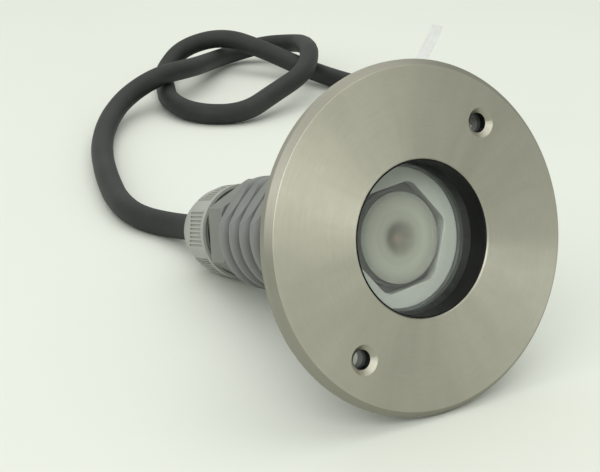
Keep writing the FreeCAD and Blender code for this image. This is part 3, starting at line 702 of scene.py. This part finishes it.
@dataclass
class Shape:
    """A mesh under construction in the lamp's own frame, in millimetres."""

    mesh: bmesh.types.BMesh = field(default_factory=bmesh.new)

    @classmethod
    def turned(cls, profile: Sequence[Corner], steps: int, side: Side = Side.RING) -> "Shape":
        """Spin a closed section about the lamp's axis.

        Args:
            profile: The section's corners as (radius, depth).
            steps: How many facets go round.
            side: Solid where the section has corners on the axis.

        Returns:
            The closed shape.
        """
        shape = cls()
        mesh = shape.mesh
        points = [mesh.verts.new((radius, 0.0, -depth)) for radius, depth in profile]
        count = len(points)
        edges = [mesh.edges.new((points[i], points[(i + 1) % count])) for i in range(count)]
        if side is Side.SOLID:
            for edge in list(edges):
                if all(abs(v.co.x) < 1e-6 for v in edge.verts):
                    edges.remove(edge)
                    mesh.edges.remove(edge)
        bmesh.ops.spin(mesh, geom=points + edges, cent=(0, 0, 0), axis=(0, 0, 1),
                       dvec=(0, 0, 0), angle=2 * math.pi, steps=steps, use_merge=True)
        bmesh.ops.remove_doubles(mesh, verts=mesh.verts, dist=1e-4)
        bmesh.ops.recalc_face_normals(mesh, faces=mesh.faces)
        return shape

    def soften(self, offset: float, segments: int = 2, angle: float = 25.0,
               keep: Optional[Callable[[bmesh.types.BMEdge], bool]] = None) -> "Shape":
        """Bevel the edges that are sharper than an angle.

        Args:
            offset: The bevel's width in millimetres.
            segments: How many facets it has.
            angle: The sharpness, in degrees, above which an edge is bevelled.
            keep: Picks among those edges, if given.

        Returns:
            The same shape.
        """
        limit = math.radians(angle)
        chosen = [e for e in self.mesh.edges
                  if len(e.link_faces) == 2 and e.calc_face_angle(0.0) > limit
                  and (keep is None or keep(e))]
        bmesh.ops.bevel(self.mesh, geom=chosen, offset=offset, segments=segments,
                        profile=0.5, affect="EDGES", material=-1, clamp_overlap=True)
        return self

    def join(self, other: "Shape") -> "Shape":
        """Add another shape's faces to this one."""
        loose = bpy.data.meshes.new("loose")
        other.mesh.to_mesh(loose)
        self.mesh.from_mesh(loose)
        bpy.data.meshes.remove(loose)
        other.mesh.free()
        return self

    def finish(self, name: str, body: str, finish: Finish, slot: str,
               replaced: Sequence[str], placed: bool = True,
               smooth_angle: float = 32.0) -> bpy.types.Object:
        """Make the object at its place in the row frame.

        Args:
            name: The piece's name.
            body: The CAD body it rides on.
            finish: Its material.
            slot: The record's material slot; not used.
            replaced: The CAD nodes it stands for.
            placed: True if the mesh is in the lamp's own frame.
            smooth_angle: Edges sharper than this stay sharp.

        Returns:
            The object.
        """
        self.mesh.transform(Matrix.Scale(MM, 4))
        if placed:
            self.mesh.transform(LAMP.matrix())
        data = bpy.data.meshes.new(name)
        self.mesh.to_mesh(data)
        self.mesh.free()
        return dress_mesh(name, data, body, finish, replaced, smooth_angle)


def dress_mesh(name: str, data: bpy.types.Mesh, body: str, finish: Finish,
               replaced: Sequence[str], smooth_angle: float = 32.0) -> bpy.types.Object:
    """Turn a mesh into a named piece that rides on a CAD body.

    Args:
        name: The piece's name.
        data: Its mesh, in the row frame.
        body: The CAD body it rides on.
        finish: Its material.
        replaced: The CAD nodes it stands for.
        smooth_angle: Edges sharper than this stay sharp.

    Returns:
        The object.
    """
    data.materials.append(finish.material())
    data.shade_smooth()
    data.set_sharp_from_angle(angle=math.radians(smooth_angle))
    piece = bpy.data.objects.new(name, data)
    bpy.context.scene.collection.objects.link(piece)
    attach(piece, body)
    if replaced:
        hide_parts(*replaced)
    log.info("%s: %d faces", name, len(data.polygons))
    return piece


def carve(piece: bpy.types.Object, cutters: Sequence[bpy.types.Object],
          operation: str = "DIFFERENCE") -> None:
    """Combine a piece with others by exact booleans, and remove the others.

    Args:
        piece: The piece whose mesh is changed.
        cutters: The meshes taken from it or added to it.
        operation: The boolean operation.
    """
    for cutter in cutters:
        modifier = piece.modifiers.new("cut", "BOOLEAN")
        modifier.operation = operation
        modifier.solver = "EXACT"
        modifier.object = cutter
    bpy.context.view_layer.update()
    evaluated = piece.evaluated_get(bpy.context.evaluated_depsgraph_get())
    cut_mesh = bpy.data.meshes.new_from_object(evaluated)
    old_mesh = piece.data
    piece.modifiers.clear()
    piece.data = cut_mesh
    cut_mesh.name = piece.name
    bpy.data.meshes.remove(old_mesh)
    for cutter in cutters:
        data = cutter.data
        bpy.data.objects.remove(cutter)
        bpy.data.meshes.remove(data)


def cutter_object(shape: Shape) -> bpy.types.Object:
    """Give a shape in the lamp's own frame as a plain object for a boolean."""
    shape.mesh.transform(Matrix.Scale(MM, 4))
    shape.mesh.transform(LAMP.matrix())
    data = bpy.data.meshes.new("cutter")
    shape.mesh.to_mesh(data)
    shape.mesh.free()
    piece = bpy.data.objects.new("cutter", data)
    bpy.context.scene.collection.objects.link(piece)
    return piece


def dress_node(node: str, finish: Finish) -> None:
    """Give a CAD node its finish."""
    data = frame["nodes"][node].data
    material = finish.material()
    if data.materials:
        for index in range(len(data.materials)):
            data.materials[index] = material
    else:
        data.materials.append(material)
    log.info("%s: CAD mesh, %s", node, finish.name)


# ---- sub-assemblies -----------------------------------------------------------------------
@dataclass
class CableSet:
    """The rubber cable, its label and its bare end."""

    diameter: float = 0.0104
    length: float = 0.92
    plate_y: float = LAMP.origin.y
    start_depth: float = 116.0
    mouth_depth: float = 139.0
    rest_height: float = 0.0052
    label_leg: int = 26
    label_width: float = 0.007
    label_reach: Tuple[float, float, float] = (0.024, 0.002, 0.028)
    route: Tuple[Tuple[float, float, float], ...] = (
        (-0.013, 0.189, 0.0000), (0.004, 0.246, 0.0008), (0.027, 0.297, 0.0000),
        (0.053, 0.330, 0.0050), (0.080, 0.341, 0.0122), (0.108, 0.354, 0.0098),
        (0.131, 0.379, 0.0044), (0.156, 0.402, 0.0001), (0.179, 0.399, 0.0045),
        (0.189, 0.378, 0.0086), (0.180, 0.353, 0.0136), (0.168, 0.329, 0.0156),
        (0.151, 0.308, 0.0112), (0.127, 0.299, 0.0059), (0.103, 0.290, 0.0002),
        (0.082, 0.303, 0.0000), (0.079, 0.327, 0.0017), (0.093, 0.358, 0.0000),
        (0.106, 0.387, 0.0000), (0.126, 0.401, 0.0091), (0.150, 0.394, 0.0143),
        (0.164, 0.371, 0.0086), (0.174, 0.345, 0.0026), (0.182, 0.318, 0.0000),
        (0.188, 0.290, 0.0005), (0.198, 0.262, 0.0005), (0.206, 0.236, 0.0000),
        (0.201, 0.215, 0.0000), (0.190, 0.194, 0.0000),
    )

    def points(self) -> List[Vector]:
        """Give the route's points in the row frame, from inside the nut onwards.

        A point of the route is how far it lies across, behind the faceplate and above
        where the cable rests.
        """
        axis_drop = LAMP.place(0, 0, 0).z - self.rest_height
        per_depth = (LAMP.place(0, 0, 0) - LAMP.place(0, 0, 1)).z
        landing_depth = axis_drop / per_depth
        found = [LAMP.place(0, 0, self.start_depth), LAMP.place(0, 0, landing_depth)]
        for x, y, lift in self.route:
            found.append(Vector((x, self.plate_y + y, self.rest_height + lift)))
        return found

    def build(self) -> None:
        points = self.points()
        curve = bpy.data.curves.new("lead_cable", "CURVE")
        curve.dimensions = "3D"
        spline = curve.splines.new("NURBS")
        spline.points.add(len(points) - 1)
        for knot, point in zip(spline.points, points):
            knot.co = (*point, 1.0)
        spline.order_u = 3
        spline.use_endpoint_u = True
        spline.resolution_u = 12
        curve.bevel_depth = self.diameter / 2
        curve.bevel_resolution = 6
        curve.use_fill_caps = True
        curve.materials.append(Palette.cable_rubber.material())
        cable = bpy.data.objects.new("lead_cable", curve)
        bpy.context.scene.collection.objects.link(cable)
        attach(cable, "lamp")
        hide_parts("cable")
        label = self.make_label(points)
        tuple(LAMP.place(0, 0, self.mouth_depth))
        dress_node("brown_core_tail", Palette.brown_core)
        dress_node("blue_core_tail", Palette.blue_core)
        dress_node("core_ferrules", Palette.tinned)
        log.info("lead_cable: %d route points", len(points))

    def make_label(self, points: Sequence[Vector]) -> bpy.types.Object:
        """Make the paper label: a band round the cable and a curled flag.

        Args:
            points: The cable's route.

        Returns:
            The label.
        """
        before, after = points[self.label_leg], points[self.label_leg + 1]
        along = (after - before).normalized()
        middle = (before + after) / 2
        reach = Vector(self.label_reach)
        across = reach.cross(along).normalized()
        inner, wall = self.diameter / 2 + 0.00006, 0.00028
        band = Shape.turned([(inner, -self.label_width / 2), (inner + wall, -self.label_width / 2),
                             (inner + wall, self.label_width / 2),
                             (inner, self.label_width / 2)], 48)
        turn = along.to_track_quat("Z", "Y").to_matrix().to_4x4()
        band.mesh.transform(Matrix.Translation(middle) @ turn)
        flag = Shape()
        bmesh.ops.create_grid(flag.mesh, x_segments=6, y_segments=22, size=0.5)
        foot = middle + Vector((0, 0, inner + wall * 0.4))
        for vert in flag.mesh.verts:
            u, v = vert.co.x, vert.co.y + 0.5
            curl = 0.0016 * math.sin(math.pi * v) - 0.0022 * v * v
            vert.co = foot + along * (u * self.label_width) + reach * v + across * curl
        bmesh.ops.solidify(flag.mesh, geom=flag.mesh.faces[:], thickness=0.00022)
        bmesh.ops.recalc_face_normals(flag.mesh, faces=flag.mesh.faces)
        band.join(flag)
        data = bpy.data.meshes.new("paper_label")
        band.mesh.to_mesh(data)
        band.mesh.free()
        return dress_mesh("paper_label", data, "lamp", Palette.paper, ["cable_tag"])


@dataclass
class BodyShell:
    """The grey housing: flange, glass cup and ribbed body with two wrench flats."""

    collar_front: float = 4.4
    collar_radius: float = 30.6
    flange_radius: float = 48.0
    flange_front: float = 5.7
    flange_rear: float = 8.7
    cup_radius: float = 31.0
    cup_rear: float = 30.0
    body_start: float = 38.0
    body_end: float = 98.6
    root_radius: float = 18.4
    rib_radius: float = 20.6
    rib_pitch: float = 7.6
    rib_count: int = 8
    rib_land: float = 2.2
    rib_flank: float = 1.9
    last_rib: float = 3.2
    glass_bore: float = 28.0
    glass_ledge: float = 14.0
    module_bore: float = 22.5
    cup_floor: float = 32.0
    body_bore: float = 15.5
    end_wall: float = 10.0
    end_bore: float = 12.46
    flat_distance: float = 18.5
    flat_angle: float = 134.0
    flat_start: float = 48.0
    screw_circle: float = 42.0
    screw_radius: float = 3.0
    screw_angle: float = 49.0

    def profile(self) -> List[Corner]:
        """Give the section's corners, outside from the front and back up the bores."""
        outside: List[Corner] = [
            (self.collar_radius, self.collar_front), (self.collar_radius, self.flange_front),
            (self.flange_radius, self.flange_front), (self.flange_radius, self.flange_rear),
            (self.cup_radius, self.flange_rear), (self.cup_radius, self.cup_rear),
            (self.root_radius, self.body_start)]
        half = self.rib_land / 2
        for index in reversed(range(self.rib_count)):
            middle = self.body_end - self.last_rib - index * self.rib_pitch
            outside += [(self.root_radius, middle - half - self.rib_flank),
                        (self.rib_radius, middle - half), (self.rib_radius, middle + half),
                        (self.root_radius, middle + half + self.rib_flank)]
        bore = [(self.root_radius, self.body_end), (self.end_bore, self.body_end),
                (self.end_bore, self.body_end - self.end_wall),
                (self.body_bore, self.body_end - self.end_wall),
                (self.body_bore, self.cup_floor), (self.module_bore, self.cup_floor),
                (self.module_bore, self.glass_ledge), (self.glass_bore, self.glass_ledge),
                (self.glass_bore, self.collar_front)]
        return outside + bore

    def cutters(self) -> List[bpy.types.Object]:
        """Give the wrench flats' and the flange holes' cutting shapes."""
        made = []
        length = self.body_end - self.flat_start + 1.0
        for turn in (0.0, 180.0):
            slab = Shape()
            bmesh.ops.create_cube(slab.mesh, size=1.0)
            bmesh.ops.scale(slab.mesh, vec=(10.0, 60.0, length), verts=slab.mesh.verts)
            bmesh.ops.translate(
                slab.mesh, verts=slab.mesh.verts,
                vec=(self.flat_distance + 5.0, 0, -self.flat_start - length / 2))
            slab.mesh.transform(Matrix.Rotation(math.radians(self.flat_angle + turn), 4, "Z"))
            made.append(cutter_object(slab))
            hole = Shape()
            bmesh.ops.create_cone(hole.mesh, cap_ends=True, segments=40,
                                  radius1=self.screw_radius, radius2=self.screw_radius,
                                  depth=8.0)
            angle = math.radians(self.screw_angle + turn)
            bmesh.ops.translate(hole.mesh, verts=hole.mesh.verts,
                                vec=(self.screw_circle * math.cos(angle),
                                     self.screw_circle * math.sin(angle), -self.flange_rear))
            made.append(cutter_object(hole))
        return made

    def build(self) -> None:
        """Spin the shell, round its ribs and cut the flats and holes."""
        shell = Shape.turned(self.profile(), 144)

        def outer(edge: bmesh.types.BMEdge) -> bool:
            """Pick edges on the ribs, shoulder and flange."""
            radius = max(math.hypot(v.co.x, v.co.y) for v in edge.verts)
            return radius > self.root_radius - 0.05

        shell.soften(0.55, 3, 22.0, outer)
        piece = shell.finish("grey_body_shell", "lamp", Palette.grey_body, "grey_plastic",
                             ["housing"])
        carve(piece, self.cutters())
        piece.data.set_sharp_from_angle(angle=math.radians(30.0))


@dataclass
class GlandBody:
    """The hexagonal gland with a threaded spigot."""

    across_flats: float = 34.0
    hex_front: float = 100.2
    hex_rear: float = 110.6
    hex_angle: float = 24.0
    corner_cut: float = 0.8
    shank_front: float = 88.6
    shank_radius: float = 12.4
    spigot_radius: float = 14.6
    spigot_rear: float = 124.6
    thread_pitch: float = 1.5
    thread_depth: float = 0.55
    mouth_radius: float = 5.9
    cavity_radius: float = 9.6
    cavity_front: float = 112.1

    def stem_profile(self) -> List[Corner]:
        """Give the stem's section, with the spigot's thread as close rings."""
        corners: List[Corner] = [
            (self.mouth_radius, self.shank_front), (self.shank_radius, self.shank_front),
            (self.shank_radius, self.hex_front + 2.0),
            (self.spigot_radius - self.thread_depth, self.hex_front + 2.0)]
        depth = self.hex_rear + 0.4
        while depth + self.thread_pitch < self.spigot_rear:
            corners += [(self.spigot_radius - self.thread_depth, depth),
                        (self.spigot_radius, depth + self.thread_pitch * 0.4),
                        (self.spigot_radius, depth + self.thread_pitch * 0.6)]
            depth += self.thread_pitch
        corners += [(self.spigot_radius - self.thread_depth, depth),
                    (self.spigot_radius - self.thread_depth, self.spigot_rear),
                    (self.cavity_radius, self.spigot_rear),
                    (self.cavity_radius, self.cavity_front),
                    (self.mouth_radius, self.cavity_front)]
        return corners

    def build(self) -> None:
        """Make the hexagon, chamfer it and add the stem, painted near-black as shade in the slit.
        """
        corner = self.across_flats / math.sqrt(3)
        solid = Shape()
        bmesh.ops.create_cone(solid.mesh, cap_ends=True, segments=6, radius1=corner,
                              radius2=corner, depth=self.hex_rear - self.hex_front)
        bmesh.ops.rotate(solid.mesh, verts=solid.mesh.verts, cent=(0, 0, 0),
                         matrix=Matrix.Rotation(math.radians(self.hex_angle - 30.0), 3, "Z"))
        bmesh.ops.translate(solid.mesh, verts=solid.mesh.verts,
                            vec=(0, 0, -(self.hex_rear + self.hex_front) / 2))
        hexagon = cutter_object(solid)
        rounding = cutter_object(Shape.turned([
            (0, self.hex_front), (corner - self.corner_cut, self.hex_front),
            (corner, self.hex_front + self.corner_cut),
            (corner, self.hex_rear - self.corner_cut),
            (corner - self.corner_cut, self.hex_rear), (0, self.hex_rear)], 96, Side.SOLID))
        carve(hexagon, [rounding], "INTERSECT")
        core = cutter_object(Shape.turned([
            (0, self.hex_front - 1.0), (self.mouth_radius, self.hex_front - 1.0),
            (self.mouth_radius, self.hex_rear + 1.0), (0, self.hex_rear + 1.0)], 64,
            Side.SOLID))
        carve(hexagon, [core])
        stem = Shape.turned(self.stem_profile(), 96)
        # the stem's faces take the painted shade material
        for face in stem.mesh.faces:
            face.material_index = 1
        piece = stem.finish("gland_hexagon", "lamp", Palette.grey_gland, "grey_plastic",
                            ["gland_body"])
        piece.data.materials.append(Palette.painted_shade_stem.material())
        carve(piece, [hexagon], "UNION")
        piece.data.set_sharp_from_angle(angle=math.radians(24.0))


@dataclass
class LightEngine:
    """What shows through the window: lens, carrier and retaining ring."""

    lens_radius: float = 14.5
    lens_front: float = 14.7
    rim_rear: float = 17.0
    cone_front_radius: float = 13.5
    cone_rear_radius: float = 7.0
    rear: float = 25.25
    pocket_radius: float = 4.0
    pocket_front: float = 22.25
    dimple_radius: float = 4.5
    dimple_depth: float = 2.0

    def profile(self) -> List[Corner]:
        """Give the lens's section: a dimple, low rings on its face and the rear cone."""
        front = self.lens_front
        return [
            (0, front + self.dimple_depth), (1.4, front + self.dimple_depth * 0.92),
            (2.9, front + self.dimple_depth * 0.55), (self.dimple_radius, front + 0.25),
            (5.3, front + 0.05), (6.4, front), (7.6, front + 0.22), (8.6, front + 0.08),
            (10.4, front + 0.02), (12.2, front + 0.10), (13.3, front + 0.30),
            (13.9, front + 0.05), (self.lens_radius, front + 0.15),
            (self.lens_radius, self.rim_rear), (self.cone_front_radius, self.rim_rear),
            (self.cone_rear_radius, self.rear), (self.pocket_radius, self.rear),
            (self.pocket_radius, self.pocket_front), (0, self.pocket_front)]

    def build(self) -> None:
        """Make the lens and dress the pieces round it."""
        lens = Shape.turned(self.profile(), 120, Side.SOLID)
        lens.finish("frosted_lens", "lamp", Palette.lens, "frosted_lens", ["lens"],
                    smooth_angle=40.0)
        for node, finish in (("hex_ring", Palette.white_ring),
                             ("lens_carrier", Palette.dark_carrier),
                             ("led_chip", Palette.led_phosphor),
                             ("led_board", Palette.white_board),
                             ("board_screws", Palette.zinc_screw),
                             ("thermal_pad", Palette.grey_pad),
                             ("heat_sink", Palette.aluminium)):
            dress_node(node, finish)


@dataclass
class DressedSet:
    """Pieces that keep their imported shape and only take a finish."""

    finishes: Dict[str, Finish]

    def build(self) -> None:
        """Dress each piece."""
        for node, finish in self.finishes.items():
            dress_node(node, finish)


@dataclass
class FrontStack(DressedSet):
    """Faceplate, bezel, glass and seals."""

    finishes: Dict[str, Finish] = field(default_factory=lambda: {
        "faceplate": Palette.brushed_steel, "bezel_ring": Palette.black_gloss,
        "window_glass": Palette.glass, "window_seal": Palette.window_seal,
        "plate_gasket": Palette.black_seal})


@dataclass
class NutSet(DressedSet):
    """Dome nut, clamp parts and the gland's washer."""

    finishes: Dict[str, Finish] = field(default_factory=lambda: {
        "dome_nut": Palette.light_nut, "thrust_washer": Palette.white_ring,
        "clamp_cage": Palette.grey_gland, "sealing_insert": Palette.black_seal,
        "gland_washer": Palette.black_seal, "cable_end": Palette.cable_rubber})


@dataclass
class DriverSet(DressedSet):
    """The driver board and its parts, sealed in the body."""

    finishes: Dict[str, Finish] = field(default_factory=lambda: {
        "driver_board": Palette.green_board, "inductor": Palette.ferrite,
        "capacitor": Palette.sleeve, "controller_chip": Palette.ferrite,
        "terminal_block": Palette.terminal, "brown_core_inside": Palette.brown_core,
        "blue_core_inside": Palette.blue_core, "red_led_wire": Palette.red_wire,
        "black_led_wire": Palette.ferrite})


# ---- studio ---------------------------------------------------------------------------------
@dataclass
class SoftBox:
    """A square soft light."""

    name: str
    place: Tuple[float, float, float]
    target: Tuple[float, float, float]
    size: float
    power: float
    tint: Colour = (1.0, 1.0, 1.0)

    def build(self) -> None:
        """Hang the light and aim it."""
        light = bpy.data.lights.new(self.name, "AREA")
        light.shape = "SQUARE"
        light.size = self.size
        light.energy = self.power
        light.color = self.tint
        holder = bpy.data.objects.new(self.name, light)
        holder.location = self.place
        aim = Vector(self.target) - Vector(self.place)
        holder.rotation_euler = aim.to_track_quat("-Z", "Y").to_euler()
        bpy.context.scene.collection.objects.link(holder)


@dataclass
class Studio:
    """Camera, floor and lights."""

    camera_place: Tuple[float, float, float] = (-0.25165, -0.39059, 0.2140)
    azimuth: float = -32.1
    look_down: float = 21.1
    roll: float = 0.2
    lens: float = 87.0
    floor_size: float = 6.0
    floor_dark: Colour = (0.675, 0.695, 0.64)
    floor_light: Colour = (0.705, 0.725, 0.67)
    ambient: Colour = (0.96, 1.0, 0.93)
    ambient_strength: float = 0.66

    def camera(self) -> None:
        """Place the camera."""
        data = bpy.data.cameras.new("studio_camera")
        data.lens = self.lens
        data.sensor_width = 36.0
        data.clip_start = 0.01
        data.clip_end = 20.0
        camera = bpy.data.objects.new("studio_camera", data)
        camera.location = self.camera_place
        turn = Matrix.Rotation(math.radians(self.azimuth), 3, "Z")
        turn = turn @ Matrix.Rotation(math.radians(90.0 - self.look_down), 3, "X")
        turn = turn @ Matrix.Rotation(math.radians(self.roll), 3, "Z")
        camera.rotation_euler = turn.to_euler()
        bpy.context.scene.collection.objects.link(camera)
        bpy.context.scene.camera = camera

    def floor(self) -> None:
        """Lay the pale floor."""
        mesh = bmesh.new()
        bmesh.ops.create_grid(mesh, x_segments=1, y_segments=1, size=self.floor_size / 2)
        data = bpy.data.meshes.new("studio_floor")
        mesh.to_mesh(data)
        mesh.free()
        material = bpy.data.materials.new("floor_finish")
        material.use_nodes = True
        graph = Graph(material.node_tree)
        shader = material.node_tree.nodes["Principled BSDF"]
        coordinate = graph.add("ShaderNodeTexCoord")
        mottle = graph.noise(coordinate.outputs["Object"], 6.0, 3.0)
        graph.link(graph.blend(mottle, self.floor_dark, self.floor_light),
                   shader.inputs["Base Color"])
        shader.inputs["Roughness"].default_value = 0.85
        shader.inputs["Specular IOR Level"].default_value = 0.25
        data.materials.append(material)
        floor = bpy.data.objects.new("studio_floor", data)
        bpy.context.scene.collection.objects.link(floor)

    def lights(self) -> None:
        """Set the world's fill light and hang the soft boxes."""
        scene = bpy.context.scene
        scene.view_settings.view_transform = "Standard"
        world = bpy.data.worlds.new("studio_world")
        world.use_nodes = True
        background = world.node_tree.nodes["Background"]
        background.inputs[0].default_value = rgba(self.ambient)
        background.inputs[1].default_value = self.ambient_strength
        scene.world = world
        SoftBox("overhead_box", (0.25, 0.35, 1.3), (0.05, 0.05, 0.0), 1.7, 9.5).build()
        SoftBox("left_box", (-1.3, -0.3, 0.8), (0.0, 0.0, 0.05), 0.9, 5.0).build()
        SoftBox("front_box", (-0.8, -1.0, 1.25), (0.0, -0.05, 0.05), 1.0, 9.0).build()

    def build(self) -> None:
        """Set the whole studio up."""
        self.camera()
        self.floor()
        self.lights()


def main() -> None:
    """Build the studio, then each sub-assembly in order."""
    logging.basicConfig(level=logging.INFO, format="%(name)s %(message)s")
    for part in (Studio(), CableSet(), FrontStack(), LightEngine(), BodyShell(), GlandBody(),
                 NutSet(), DriverSet()):
        log.info("building %s", type(part).__name__)
        part.build()


if __name__ == "__main__":
    main()
